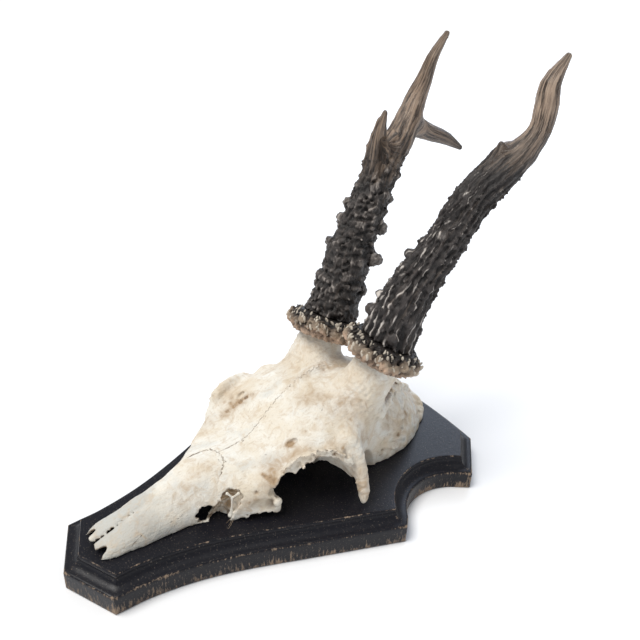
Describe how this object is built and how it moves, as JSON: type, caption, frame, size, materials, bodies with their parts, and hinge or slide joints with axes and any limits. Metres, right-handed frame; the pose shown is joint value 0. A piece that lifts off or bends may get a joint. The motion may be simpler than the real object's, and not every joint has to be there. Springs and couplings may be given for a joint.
{
  "type": "roe deer antler trophy",
  "caption": "Cut roe buck skull with both antlers, lying on its black painted wooden shield plaque.",
  "frame": {"origin": "centre of the plaque's flat back", "axes": "+Z out of the plaque's painted face, -Y towards the nose, +X towards the animal's left"},
  "size_m": [0.1338, 0.2555, 0.2128],
  "materials": {
    "bone": "matte ivory bone with tan stains",
    "coronet": "rough dark brown antler burr with pale pearls",
    "antler_beam": "near-black brown antler, pearled and furrowed",
    "antler_tine": "smooth mid-brown antler, slightly polished",
    "plaque_paint": "black painted wood, worn at the edges"
  },
  "bodies": {
    "root": {"plaque": "plaque_paint", "nasal_left": "bone", "nasal_right": "bone", "maxilla_left": "bone", "maxilla_right": "bone", "lacrimal_left": "bone", "lacrimal_right": "bone", "frontal_left": "bone", "frontal_right": "bone", "braincase": "bone", "coronet_left": "coronet", "coronet_right": "coronet", "beam_left": "antler_beam", "beam_right": "antler_beam", "top_left": "antler_tine", "front_tine_right": "antler_tine", "main_tine_right": "antler_tine", "rear_tine_right": "antler_tine"}
  },
  "joints": []
}
